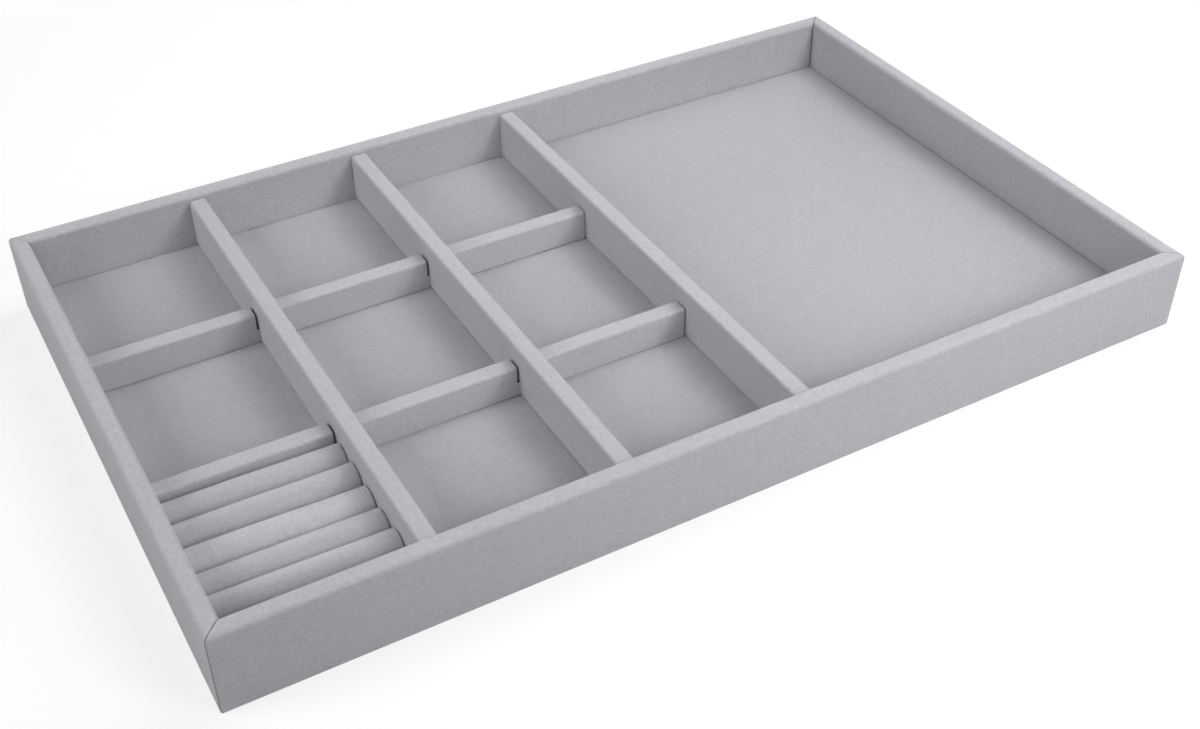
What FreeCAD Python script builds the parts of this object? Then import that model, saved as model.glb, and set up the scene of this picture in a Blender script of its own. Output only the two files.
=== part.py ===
import FreeCAD, Part
import os

import Sketcher
from FreeCAD import Placement, Rotation, Vector

# Driving dimensions in millimetres; roll_count is a plain count.
SIZES = {
    # frame of four mitred walls
    "tray_length": 584.0,
    "tray_depth": 360.0,
    "tray_height": 50.5,
    # covered board: the stock of every wall, divider and strip
    "core_thickness": 9.0,
    "cover_thickness": 0.6,
    "core_edge_radius": 2.0,
    "core_foot_radius": 0.6,
    # floor, from the underside up
    "felt_thickness": 1.0,
    "felt_inset": 3.0,
    "base_thickness": 9.0,
    "floor_card_thickness": 3.0,
    "floor_foam_thickness": 2.4,
    "floor_edge_radius": 1.2,
    "floor_panel_clearance": 0.15,
    # grid of long dividers and cross strips
    "column_width": 96.0,
    "divider_height": 31.2,
    "strip_height": 20.0,
    "strip_lap_depth": 10.6,
    "lap_slit_clearance": 0.9,
    "lap_straddle_clearance": 0.3,
    "lap_drop_clearance": 0.4,
    "board_end_clearance": 0.3,
    # ring rolls in the front left compartment
    "roll_count": 6,
    "roll_height": 18.6,
    "roll_clearance": 0.3,
    "roll_foot_radius": 4.0,
    # fasteners hidden under the covers
    "brad_radius": 0.7,
    "brad_length": 20.0,
    "brad_head_radius": 1.2,
    "brad_head_height": 0.6,
    "brad_hole_clearance": 0.02,
    "brad_end_distance": 92.0,
    "v_nail_leg": 4.6,
    "v_nail_thickness": 0.5,
    "v_nail_height": 7.0,
}

# Expressions that several pieces share, written in terms of the cells.
BOARD = "(Sizes.core_thickness + 2 * Sizes.cover_thickness)"
FLOOR_PANEL = "(Sizes.floor_card_thickness + Sizes.floor_foam_thickness + Sizes.cover_thickness)"
PANEL_BOTTOM = "(Sizes.felt_thickness + Sizes.base_thickness)"
FLOOR = f"({PANEL_BOTTOM} + {FLOOR_PANEL})"
INNER_LENGTH = f"(Sizes.tray_length - 2 * {BOARD})"
INNER_DEPTH = f"(Sizes.tray_depth - 2 * {BOARD})"
ROW_DEPTH = f"(({INNER_DEPTH} - 2 * {BOARD}) / 3)"
WALL_HEIGHT = "(Sizes.tray_height - Sizes.felt_thickness)"
GRID_LENGTH = f"(3 * Sizes.column_width + 2 * {BOARD})"
GRID_LEFT = f"(-{INNER_LENGTH} / 2)"
STRIP_OFFSET = f"(({ROW_DEPTH} + {BOARD}) / 2)"
DIVIDER_OFFSET = f"((Sizes.column_width + {BOARD}) / 2)"
ROLL_PITCH = f"(({ROW_DEPTH} - Sizes.roll_clearance) / Sizes.roll_count)"

doc = FreeCAD.newDocument("jewelry_tray")
sheet = doc.addObject("Spreadsheet::Sheet", "Sizes")
for row, (alias, value) in enumerate(SIZES.items(), start=1):
    sheet.set(f"A{row}", alias)
    sheet.set(f"B{row}", str(value))
    sheet.setAlias(f"B{row}", alias)
doc.recompute()


def number(expression):
    """The present value of an expression in the sheet's cells."""
    return float(sheet.evalExpression(expression))


def place(piece, x, y, z, turn=0):
    """Turns a piece about Z and binds where its own origin stands."""
    piece.Placement = Placement(Vector(), Rotation(Vector(0, 0, 1), turn))
    for axis, expression in zip("xyz", (x, y, z)):
        piece.setExpression(f"Placement.Base.{axis}", expression)


def add_sketch(body, name, role):
    """A sketch on one of the body's own origin planes."""
    sketch = body.newObject("Sketcher::SketchObject", name)
    plane = next(item for item in body.Origin.OriginFeatures if item.Role == role)
    sketch.AttachmentSupport = [(plane, "")]
    sketch.MapMode = "FlatFace"
    return sketch


def bind_point(sketch, geometry, end, x, y):
    """Ties one end of a sketched line or arc to its two coordinates."""
    for kind, axis, expression in (("DistanceX", -2, x), ("DistanceY", -1, y)):
        value = number(expression)
        if value == 0:
            sketch.addConstraint(Sketcher.Constraint("PointOnObject", geometry, end, axis))
            continue
        ends = (-1, 1, geometry, end) if value > 0 else (geometry, end, -1, 1)
        index = sketch.addConstraint(Sketcher.Constraint(kind, *ends, abs(value)))
        sketch.setExpression(f"Constraints[{index}]", expression if value > 0 else f"-({expression})")


def draw_outline(sketch, corners):
    """A closed outline of straight lines through corners given as pairs of expressions."""
    points = [Vector(number(x), number(y), 0) for x, y in corners]
    count = len(points)
    first = sketch.GeometryCount
    for index in range(count):
        line = Part.LineSegment(points[index], points[(index + 1) % count])
        sketch.addGeometry(line, False)
    for index in range(count):
        following = first + (index + 1) % count
        sketch.addConstraint(Sketcher.Constraint("Coincident", first + index, 2, following, 1))
    for index, (x, y) in enumerate(corners):
        bind_point(sketch, first + index, 1, x, y)


def draw_rectangle(sketch, left, right, low, high):
    """An upright rectangle between four expressions."""
    draw_outline(sketch, [(left, low), (right, low), (right, high), (left, high)])


def pad(body, sketch, length, side="One side"):
    """Extrudes a sketch by an expression."""
    feature = body.newObject("PartDesign::Pad", f"{body.Name}_pad")
    feature.Profile = sketch
    feature.SideType = side
    feature.setExpression("Length", length)
    doc.recompute()
    return feature


def cut_through(body, sketch):
    """Cuts a sketch through the body both ways, and makes sure that it took something away."""
    before = body.Shape.Volume
    feature = body.newObject("PartDesign::Pocket", f"{body.Name}_cut")
    feature.Profile = sketch
    feature.SideType = "Symmetric"
    feature.Type = "ThroughAll"
    doc.recompute()
    if body.Shape.Volume >= before:
        raise RuntimeError(f"{feature.Name} cuts nothing")


def long_edges(shape, level):
    """Names of the straight edges that run along the piece's own X axis at its top or at its foot."""
    height = shape.BoundBox.ZMax if level == "top" else shape.BoundBox.ZMin
    names = []
    for index, edge in enumerate(shape.Edges, start=1):
        run = edge.Vertexes[-1].Point - edge.Vertexes[0].Point
        lengthwise = run.Length > 0 and abs(run.normalize().x) > 0.999
        if lengthwise and abs(edge.Vertexes[0].Z - height) < 1e-6:
            names.append(f"Edge{index}")
    return names


def round_edges(body, feature, names, radius):
    """Rounds named edges of a feature to an expression's radius."""
    fillet = body.newObject("PartDesign::Fillet", f"{body.Name}_round")
    fillet.Base = (feature, names)
    fillet.setExpression("Radius", radius)
    doc.recompute()
    return fillet


def mitre_ends(body, length):
    """Cuts both ends of a wall at 45 degrees, long on its outer face, which faces -Y."""
    sketch = add_sketch(body, f"{body.Name}_mitres", "XY_Plane")
    tip = (f"{length} / 2 + {BOARD}", f"-1.5 * {BOARD}")
    back = (f"{length} / 2 - 2 * {BOARD}", f"1.5 * {BOARD}")
    square = (tip[0], back[1])
    draw_outline(sketch, [tip, square, back])
    draw_outline(sketch, [(f"-({x})", y) for x, y in (tip, square, back)])
    cut_through(body, sketch)


def notch_pair(body, offset, width, low, high):
    """Cuts two notches through a board's thickness, either side of its middle."""
    sketch = add_sketch(body, f"{body.Name}_notches", "XZ_Plane")
    near = f"({offset} - {width} / 2)"
    far = f"({offset} + {width} / 2)"
    draw_rectangle(sketch, near, far, low, high)
    draw_rectangle(sketch, f"-{far}", f"-{near}", low, high)
    cut_through(body, sketch)


def board_block(label, length, height, inset, spread, shape_ends):
    """A board along its own X axis, standing on Z = inset, well rounded on top and eased at its foot."""
    body = doc.addObject("PartDesign::Body", label)
    section = add_sketch(body, f"{label}_section", "YZ_Plane")
    half = f"({BOARD} / 2 - {inset})"
    draw_rectangle(section, f"-{half}", half, inset, f"{height} - {inset}")
    block = pad(body, section, length, "Symmetric")
    crown = round_edges(body, block, long_edges(block.Shape, "top"), f"Sizes.core_edge_radius + {spread}")
    round_edges(body, crown, long_edges(crown.Shape, "foot"), f"Sizes.core_foot_radius + {spread}")
    shape_ends(body)
    return body


def cut(label, base, tool):
    """What is left of one piece when another is taken out of it."""
    feature = doc.addObject("Part::Cut", label)
    feature.Base = base
    feature.Tool = tool
    doc.recompute()
    return feature


def covered_board(name, length, height, where, shape_ends):
    """A board core and the velvet sleeve wrapped round it, as two pieces."""
    whole = board_block(f"{name}_block", length, height, "0", "Sizes.cover_thickness", shape_ends)
    core = board_block(f"{name}_core", length, height, "Sizes.cover_thickness", "0", shape_ends)
    place(whole, *where)
    place(core, *where)
    return core, cut(f"{name}_cover", whole, core)


def box(label, length, depth, height, bottom):
    """A flat panel centred on the tray's axis."""
    panel = doc.addObject("Part::Box", label)
    for size, expression in (("Length", length), ("Width", depth), ("Height", height)):
        panel.setExpression(size, expression)
    place(panel, f"-({length}) / 2", f"-({depth}) / 2", bottom)
    return panel


def make_walls():
    """Four mitred walls, outer faces outwards, each a core and a cover."""
    wall_middle_x = f"(Sizes.tray_length - {BOARD}) / 2"
    wall_middle_y = f"(Sizes.tray_depth - {BOARD}) / 2"
    stands = {
        "front": ("Sizes.tray_length", "0", f"-{wall_middle_y}", 0),
        "right": ("Sizes.tray_depth", wall_middle_x, "0", 90),
        "back": ("Sizes.tray_length", "0", wall_middle_y, 180),
        "left": ("Sizes.tray_depth", f"-{wall_middle_x}", "0", 270),
    }
    pieces = []
    for side, (length, x, y, turn) in stands.items():
        pieces += covered_board(
            f"{side}_wall",
            length,
            WALL_HEIGHT,
            (x, y, "Sizes.felt_thickness", turn),
            lambda body, length=length: mitre_ends(body, length),
        )
    return pieces


def make_floor():
    """Felt, base board, and the padded floor panel with its velvet lining turned down round it."""
    felt = box(
        "base_felt",
        "Sizes.tray_length - 2 * Sizes.felt_inset",
        "Sizes.tray_depth - 2 * Sizes.felt_inset",
        "Sizes.felt_thickness",
        "0",
    )
    base = box("base_board", INNER_LENGTH, INNER_DEPTH, "Sizes.base_thickness", "Sizes.felt_thickness")
    edge = "(Sizes.floor_panel_clearance + Sizes.cover_thickness)"
    core_length = f"{INNER_LENGTH} - 2 * {edge}"
    core_depth = f"{INNER_DEPTH} - 2 * {edge}"
    card = box("floor_card", core_length, core_depth, "Sizes.floor_card_thickness", PANEL_BOTTOM)
    foam_bottom = f"{PANEL_BOTTOM} + Sizes.floor_card_thickness"
    foam = box("floor_foam", core_length, core_depth, "Sizes.floor_foam_thickness", foam_bottom)

    panel = doc.addObject("PartDesign::Body", "floor_panel")
    outline = add_sketch(panel, "floor_panel_outline", "XY_Plane")
    half_length = f"({INNER_LENGTH} / 2 - Sizes.floor_panel_clearance)"
    half_depth = f"({INNER_DEPTH} / 2 - Sizes.floor_panel_clearance)"
    draw_rectangle(outline, f"-{half_length}", half_length, f"-{half_depth}", half_depth)
    block = pad(panel, outline, FLOOR_PANEL)
    top = block.Shape.BoundBox.ZMax
    rim = [
        f"Edge{index}"
        for index, edge in enumerate(block.Shape.Edges, start=1)
        if all(abs(vertex.Z - top) < 1e-6 for vertex in edge.Vertexes)
    ]
    round_edges(panel, block, rim, "Sizes.floor_edge_radius")
    place(panel, "0", "0", PANEL_BOTTOM)
    stuffing = doc.addObject("Part::Fuse", "floor_stuffing")
    stuffing.Base = card
    stuffing.Tool = foam
    lining = cut("floor_lining", panel, stuffing)
    return felt, base, card, foam, lining


def make_dividers():
    """Long dividers: two loose ones notched from below over the strips, and a plain fixed one."""
    notch_top = "(Sizes.strip_height - Sizes.strip_lap_depth + Sizes.lap_drop_clearance)"
    notch_width = f"({BOARD} + 2 * Sizes.lap_straddle_clearance)"
    loose_length = f"{INNER_DEPTH} - 2 * Sizes.board_end_clearance"

    def notched(body):
        notch_pair(body, STRIP_OFFSET, notch_width, f"-{BOARD}", notch_top)

    kinds = {
        "left_divider": (1, loose_length, notched),
        "middle_divider": (2, loose_length, notched),
        "right_divider": (3, INNER_DEPTH, lambda body: None),
    }
    pieces = []
    for name, (columns, length, shape_ends) in kinds.items():
        x = f"{GRID_LEFT} + {columns} * Sizes.column_width + ({columns} - 0.5) * {BOARD}"
        pieces += covered_board(name, length, "Sizes.divider_height", (x, "0", FLOOR, 90), shape_ends)
    return pieces


def make_strips():
    """Cross strips, notched from above where the loose dividers straddle them."""
    notch_bottom = "(Sizes.strip_height - Sizes.strip_lap_depth)"
    notch_width = f"({BOARD} + 2 * Sizes.lap_slit_clearance)"

    def notched(body):
        notch_pair(body, DIVIDER_OFFSET, notch_width, notch_bottom, f"Sizes.strip_height + {BOARD}")

    length = f"{GRID_LENGTH} - 2 * Sizes.board_end_clearance"
    x = f"{GRID_LEFT} + {GRID_LENGTH} / 2"
    pieces = []
    for name, y in (("front_cross_strip", f"-{STRIP_OFFSET}"), ("back_cross_strip", STRIP_OFFSET)):
        pieces += covered_board(name, length, "Sizes.strip_height", (x, y, FLOOR, 0), notched)
    return pieces


def roll_block(label, inset, where):
    """A ring roll along its own X axis: round on top, straight sides, flat foot."""
    width = f"({ROLL_PITCH} - Sizes.roll_clearance - 2 * {inset})"
    height = f"(Sizes.roll_height - {inset})"
    body = doc.addObject("PartDesign::Body", label)
    sketch = add_sketch(body, f"{label}_section", "YZ_Plane")
    half = number(width) / 2
    foot = number(inset)
    spring = number(height) - half
    sketch.addGeometry(Part.LineSegment(Vector(-half, foot, 0), Vector(half, foot, 0)), False)
    sketch.addGeometry(Part.LineSegment(Vector(half, foot, 0), Vector(half, spring, 0)), False)
    crown = Part.Arc(Vector(half, spring, 0), Vector(0, spring + half, 0), Vector(-half, spring, 0))
    sketch.addGeometry(crown, False)
    sketch.addGeometry(Part.LineSegment(Vector(-half, spring, 0), Vector(-half, foot, 0)), False)
    for joint in (
        ("Coincident", 0, 2, 1, 1),
        ("Tangent", 1, 2, 2, 1),
        ("Tangent", 2, 2, 3, 1),
        ("Coincident", 3, 2, 0, 1),
        ("Vertical", 1),
        ("Vertical", 3),
    ):
        sketch.addConstraint(Sketcher.Constraint(*joint))
    bind_point(sketch, 0, 1, f"-{width} / 2", inset)
    bind_point(sketch, 0, 2, f"{width} / 2", inset)
    index = sketch.addConstraint(Sketcher.Constraint("DistanceY", -1, 1, 2, 3, spring))
    sketch.setExpression(f"Constraints[{index}]", f"{height} - {width} / 2")
    block = pad(body, sketch, "Sizes.column_width - 2 * Sizes.roll_clearance", "Symmetric")
    round_edges(body, block, long_edges(block.Shape, "foot"), f"Sizes.roll_foot_radius - {inset}")
    place(body, *where)
    return body


def make_rolls():
    """Ring rolls side by side, counted from the front wall, each foam in a velvet sleeve."""
    x = f"{GRID_LEFT} + Sizes.column_width / 2"
    pieces = []
    for index in range(int(number("Sizes.roll_count"))):
        y = f"-{INNER_DEPTH} / 2 + Sizes.roll_clearance / 2 + ({index} + 0.5) * {ROLL_PITCH}"
        where = (x, y, FLOOR)
        whole = roll_block(f"ring_roll_block_{index + 1}", "0", where)
        foam = roll_block(f"ring_roll_foam_{index + 1}", "Sizes.cover_thickness", where)
        pieces += [foam, cut(f"ring_roll_cover_{index + 1}", whole, foam)]
    return pieces


def brad_seats():
    """Where each brad's head lies, on a wall core's outer face, and which way the brad points."""
    face_x = number("Sizes.tray_length / 2 - Sizes.cover_thickness")
    face_y = number("Sizes.tray_depth / 2 - Sizes.cover_thickness")
    far_x = number("Sizes.tray_length / 2 - Sizes.brad_end_distance")
    far_y = number("Sizes.tray_depth / 2 - Sizes.brad_end_distance")
    base_z = number("Sizes.felt_thickness + Sizes.base_thickness / 2")
    divider_x = number(f"{GRID_LEFT} + {GRID_LENGTH} + {BOARD} / 2")
    divider_zs = [number(f"{FLOOR} + {share} * Sizes.divider_height") for share in (0.3, 0.7)]
    seats = []
    for side in (-1, 1):
        inwards = Vector(0, -side, 0)
        seats += [(Vector(x, side * face_y, base_z), inwards) for x in (-far_x, 0, far_x)]
        seats += [(Vector(divider_x, side * face_y, z), inwards) for z in divider_zs]
        seats += [(Vector(side * face_x, y, base_z), Vector(-side, 0, 0)) for y in (-far_y, far_y)]
    return seats


def brad(seat, inwards, clearance):
    """One headed brad, or the hole that it sits in when it is given a clearance."""
    length = number("Sizes.brad_length")
    head = Part.makeCylinder(
        number("Sizes.brad_head_radius") + clearance, number("Sizes.brad_head_height"), seat, inwards
    )
    shank = Part.makeCylinder(number("Sizes.brad_radius") + clearance, length, seat, inwards)
    return head.fuse(shank).removeSplitter()


def v_nails():
    """One V-nail across each mitre, driven up from the underside of the wall cores."""
    low = number("Sizes.felt_thickness + Sizes.cover_thickness")
    thick = number("Sizes.v_nail_thickness")
    leg = number("Sizes.v_nail_leg")
    apex = number(f"({BOARD} - Sizes.v_nail_thickness) / 2")
    half_length = number("Sizes.tray_length / 2")
    half_depth = number("Sizes.tray_depth / 2")
    outline = ((0, 0), (leg, 0), (leg, thick), (thick, thick), (thick, leg), (0, leg), (0, 0))
    nails = []
    for side_x in (-1, 1):
        for side_y in (-1, 1):
            points = [
                Vector(side_x * (half_length - apex - x), side_y * (half_depth - apex - y), low)
                for x, y in outline
            ]
            face = Part.Face(Part.makePolygon(points))
            nails.append(face.extrude(Vector(0, 0, number("Sizes.v_nail_height"))))
    return nails


def group(label, solids):
    """Several loose solids kept as one piece."""
    feature = doc.addObject("Part::Feature", label)
    feature.Shape = Part.makeCompound(solids)
    return feature


def fasten(pieces):
    """Drives the brads and V-nails, and makes their holes in the pieces that they hold."""
    seats = brad_seats()
    nails = v_nails()
    brads = group("frame_brads", [brad(seat, inwards, 0) for seat, inwards in seats])
    corners = group("corner_v_nails", nails)
    clearance = number("Sizes.brad_hole_clearance")
    holes = group("fastener_holes", [brad(seat, inwards, clearance) for seat, inwards in seats] + nails)
    drilled = []
    for piece in pieces:
        held = any(piece.Shape.distToShape(solid)[0] < clearance for solid in holes.Shape.Solids)
        if not held:
            drilled.append(piece)
            continue
        label = piece.Label
        piece.Label = f"{label}_undrilled"
        drilled_piece = cut(f"{label}_drilled", piece, holes)
        drilled_piece.Label = label
        drilled.append(drilled_piece)
    return drilled + [brads, corners]


def check(pieces):
    """Stops the build at any failed object or bad shape."""
    for item in doc.Objects:
        if {"Invalid", "Error"} & set(item.State):
            raise RuntimeError(f"{item.Label} failed: {item.State}")
    for piece in pieces:
        if piece.Shape.isNull() or not piece.Shape.isValid():
            raise RuntimeError(f"{piece.Label} has no valid shape")


def export(pieces):
    """Writes each piece to its own file, named after its label."""
    os.makedirs("parts", exist_ok=True)
    for piece in pieces:
        piece.Shape.exportStep(os.path.join("parts", f"{piece.Label}.step"))
        print(f"{piece.Label}: {len(piece.Shape.Solids)} solid(s), {piece.Shape.Volume:.1f} mm3")


fixed = [*make_walls(), *make_floor(), *make_dividers()]
loose = [*make_strips(), *make_rolls()]
doc.recompute()
every_piece = fasten(fixed) + loose
doc.recompute()
check(every_piece)
export(every_piece)
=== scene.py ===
"""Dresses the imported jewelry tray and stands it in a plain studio.

The velvet sleeves of the boards, the floor lining, the six ring rolls and the
felt underside are modelled here and take the place of their plain CAD solids.
Boards, card, foam and fasteners stay as CAD nodes and get their own finishes.
"""

import logging
import math
from collections.abc import Callable, Iterator
from contextlib import contextmanager
from dataclasses import dataclass
from enum import Enum
from typing import Self

import bmesh
import bpy
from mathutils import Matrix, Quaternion, Vector


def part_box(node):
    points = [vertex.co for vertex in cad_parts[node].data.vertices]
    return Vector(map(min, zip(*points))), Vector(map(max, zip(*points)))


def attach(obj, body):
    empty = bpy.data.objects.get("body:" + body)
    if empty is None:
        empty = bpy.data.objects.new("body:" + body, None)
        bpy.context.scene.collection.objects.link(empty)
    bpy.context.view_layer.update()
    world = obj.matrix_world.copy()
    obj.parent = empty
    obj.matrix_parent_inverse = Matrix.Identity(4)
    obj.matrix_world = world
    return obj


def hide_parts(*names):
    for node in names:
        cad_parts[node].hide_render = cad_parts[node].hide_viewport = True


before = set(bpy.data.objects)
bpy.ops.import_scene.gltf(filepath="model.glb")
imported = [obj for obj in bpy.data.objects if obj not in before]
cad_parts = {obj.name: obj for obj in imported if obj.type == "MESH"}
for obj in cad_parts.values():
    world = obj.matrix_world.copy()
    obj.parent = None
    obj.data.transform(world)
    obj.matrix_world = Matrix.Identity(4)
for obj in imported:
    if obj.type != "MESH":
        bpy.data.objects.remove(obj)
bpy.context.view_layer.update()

LOG = logging.getLogger("jewelry_tray")
# The mesh attribute that carries painted light: crowns painted paler, and roll fronts painted darker as
# painted shade.
PAINTED_LIGHT = "rubbed"

MM = 0.001
# How near counts as the same place, in metres.
TOUCH = 1e-5
# The cosine from which a direction counts as an axis's own.
ALONG = 0.995
# A noise pattern strays about a quarter either side of its middle.
NOISE_MIDDLE = 0.5
NOISE_SWING = 4.0

Colour = tuple[float, float, float]
Point = tuple[float, float, float]
Range = tuple[float, float]
Shade = tuple[float, float, float, float]


def linear(colour: Colour) -> Shade:
    """Turns a display colour, 0 to 255 a channel, into the linear colour a socket takes.

    Args:
        colour: Red, green and blue as a screen shows them.

    Returns:
        Linear red, green and blue, with full alpha.
    """
    channels = [channel / 255 for channel in colour]
    red, green, blue = (
        channel / 12.92 if channel <= 0.04045 else ((channel + 0.055) / 1.055) ** 2.4
        for channel in channels
    )
    return red, green, blue, 1.0


def shaded(colour: Colour, factor: float) -> Shade:
    """A display colour as a linear one, made lighter or darker by a factor."""
    red, green, blue, alpha = linear(colour)
    return red * factor, green * factor, blue * factor, alpha


class Element(Enum):
    """What edit mode selects."""

    VERTEX = "VERT"
    EDGE = "EDGE"
    FACE = "FACE"


class Lie(Enum):
    """How a board lies: its turn about Z, in degrees, from running along X with its inner side to +Y."""

    FRONT = 0
    RIGHT = 90
    BACK = 180
    LEFT = 270


class Ends(Enum):
    """How the ends of a covered board are made."""

    MITRED = "mitred"
    SQUARE = "square"


class NotchSide(Enum):
    """The edge of a board that a notch is cut from."""

    TOP = "top"
    FOOT = "foot"


class Bench:
    """Modelling steps on one piece, each a Blender operator on what is selected by place."""

    def __init__(self, piece: bpy.types.Object, name: str) -> None:
        """Takes a new piece in hand, and names it and its mesh."""
        self.piece = piece
        piece.name = piece.data.name = name

    @classmethod
    def block(cls, name: str, size: Vector, centre: Vector) -> Self:
        """Adds the block that a piece is shaped from.

        Args:
            name: The piece's name.
            size: The block's three sides, in metres.
            centre: The block's middle.

        Returns:
            The bench with the block on it.
        """
        bpy.ops.object.select_all(action="DESELECT")
        bpy.ops.mesh.primitive_cube_add(size=1, location=centre, scale=size)
        bpy.ops.object.transform_apply(location=True, rotation=True, scale=True)
        return cls(bpy.context.active_object, name)

    def copy(self, name: str) -> Self:
        """Copies the piece.

        Args:
            name: The copy's name.

        Returns:
            A bench with the copy on it, which has a mesh of its own.
        """
        bpy.ops.object.select_all(action="DESELECT")
        self.piece.select_set(True)
        bpy.context.view_layer.objects.active = self.piece
        bpy.ops.object.duplicate(linked=False)
        return type(self)(bpy.context.active_object, name)

    def discard(self) -> None:
        """Takes the piece out of the scene, once its copies are made."""
        mesh = self.piece.data
        bpy.data.objects.remove(self.piece)
        bpy.data.meshes.remove(mesh)

    @contextmanager
    def editing(self) -> Iterator[None]:
        """Opens edit mode for the steps inside the block."""
        bpy.ops.object.mode_set(mode="EDIT")
        yield
        bpy.ops.object.mode_set(mode="OBJECT")

    def pick(self, element: Element, test: Callable[..., bool] = lambda item: True) -> None:
        """Selects the elements that pass a test, and nothing else.

        Args:
            element: The kind of element to select.
            test: Takes one bmesh element and says whether it is wanted, as all are if it isn't given.
        """
        bpy.ops.mesh.select_mode(type=element.value)
        bpy.ops.mesh.select_all(action="DESELECT")
        cage = bmesh.from_edit_mesh(self.piece.data)
        cage.normal_update()
        pool = {Element.VERTEX: cage.verts, Element.EDGE: cage.edges, Element.FACE: cage.faces}[element]
        for item in [item for item in pool if test(item)]:
            item.select_set(True)
        bmesh.update_edit_mesh(self.piece.data)

    def pick_along(self, axis: int, test: Callable[[Vector], bool] = lambda middle: True) -> None:
        """Selects the edges that run along one axis.

        Args:
            axis: 0, 1 or 2 for X, Y or Z.
            test: Takes an edge's middle and says whether the edge is wanted.
        """

        def runs(edge: bmesh.types.BMEdge) -> bool:
            """Says whether an edge runs along the axis and passes the test."""
            start, end = (vertex.co for vertex in edge.verts)
            return abs((end - start).normalized()[axis]) > ALONG and test((start + end) / 2)

        self.pick(Element.EDGE, runs)

    def pick_rim(self, side: int) -> None:
        """Selects the open rim at one end of the piece: -1 for the lower X, 1 for the higher."""
        self.pick(Element.EDGE, lambda edge: edge.is_boundary and edge.verts[0].co.x * side > 0)

    def round(self, radius: float, segments: int) -> None:
        """Rounds the selected edges."""
        bpy.ops.mesh.bevel(offset=radius, offset_type="OFFSET", segments=segments, affect="EDGES")

    def divide(self, length: float, cell: float) -> None:
        """Cuts the selected edges, and the faces between them, into cells of about one length."""
        bpy.ops.mesh.subdivide(number_cuts=max(1, round(length / cell) - 1))

    def slice(self, point: Vector, normal: Vector, clear: bool = False) -> None:
        """Cuts the selected faces with a plane.

        Args:
            point: A point of the plane.
            normal: The plane's normal.
            clear: Whether what lies on the normal's side is thrown away.
        """
        bpy.ops.mesh.bisect(plane_co=point, plane_no=normal, clear_outer=clear)

    def slice_through(self, point: Vector, normal: Vector, clear: bool = False) -> None:
        """Cuts the whole piece with a plane, as slice cuts what is selected."""
        self.pick(Element.FACE)
        self.slice(point, normal, clear)

    def drop_faces(self, test: Callable[[bmesh.types.BMFace], bool]) -> None:
        """Deletes the faces that pass a test."""
        self.pick(Element.FACE, test)
        bpy.ops.mesh.delete(type="FACE")

    def scale(self, factors: Point, centre: Vector, reach: float = 0.0) -> None:
        """Scales what is selected about a point.

        Args:
            factors: The factor along each axis.
            centre: The point that stays.
            reach: How far around the selection the rest follows, less and less.
        """
        bpy.ops.transform.resize(
            value=factors,
            center_override=centre,
            use_proportional_edit=reach > 0,
            proportional_size=reach or 1.0,
        )

    def settle(self, place: Vector, turn: float = 0.0) -> None:
        """Turns the piece about Z, moves it into place, and puts both into its mesh.

        Args:
            place: Where the piece's origin goes.
            turn: The turn, in radians.
        """
        self.piece.rotation_euler = (0, 0, turn)
        self.piece.location = place
        bpy.ops.object.transform_apply(location=True, rotation=True, scale=True)

    def apply(self, kind: str, **settings: object) -> None:
        """Adds a modifier, sets it and applies it.

        Args:
            kind: The modifier's type.
            **settings: Its properties by name.
        """
        modifier = self.piece.modifiers.new(kind.lower(), kind)
        for key, value in settings.items():
            setattr(modifier, key, value)
        bpy.ops.object.modifier_apply(modifier=modifier.name)

    def relax(self, depth: float, spread: float) -> None:
        """Gives a surface the slight waviness of hand-laid cloth.

        Args:
            depth: How far the surface may rise and fall in all.
            spread: The width of one wave.
        """
        texture = bpy.data.textures.new(f"{self.piece.name}_waves", "CLOUDS")
        texture.noise_scale = spread
        texture.noise_depth = 2
        self.apply("DISPLACE", texture=texture, texture_coords="LOCAL", strength=depth, mid_level=0.5)

    def thicken(self, thickness: float) -> None:
        """Gives an open skin its cloth thickness, inwards."""
        self.apply("SOLIDIFY", thickness=thickness, offset=-1.0, use_even_offset=True, use_rim=True)

    def smooth(self, angle: float = 40.0) -> None:
        """Shades the piece smooth, except where its faces meet at more than an angle in degrees."""
        bpy.ops.object.shade_smooth_by_angle(angle=math.radians(angle))

    def mark(self, name: str, value: Callable[[bpy.types.MeshVertex], float]) -> None:
        """Gives the mesh a number at every vertex, for a finish to read.

        Args:
            name: The attribute's name.
            value: Takes a vertex and gives its number.
        """
        numbers = self.piece.data.attributes.new(name, "FLOAT", "POINT")
        for vertex in self.piece.data.vertices:
            numbers.data[vertex.index].value = value(vertex)

    def dress(self, finish: bpy.types.Material, body: str, slot: str, *nodes: str) -> bpy.types.Object:
        """Gives the piece its finish, rides it on its body, and hides the CAD nodes it stands for.

        Args:
            finish: The material.
            body: The body that the piece rides on.
            slot: The record's slot for the finish; not used.
            *nodes: The CAD nodes that the piece stands for.

        Returns:
            The finished piece.
        """
        self.piece.data.materials.append(finish)
        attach(self.piece, body)
        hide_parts(*nodes)
        return self.piece


@dataclass(frozen=True)
class Relief:
    """How deep a pattern stands, in metres, and how strongly it shows, up to 1."""

    depth: float
    strength: float


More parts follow.
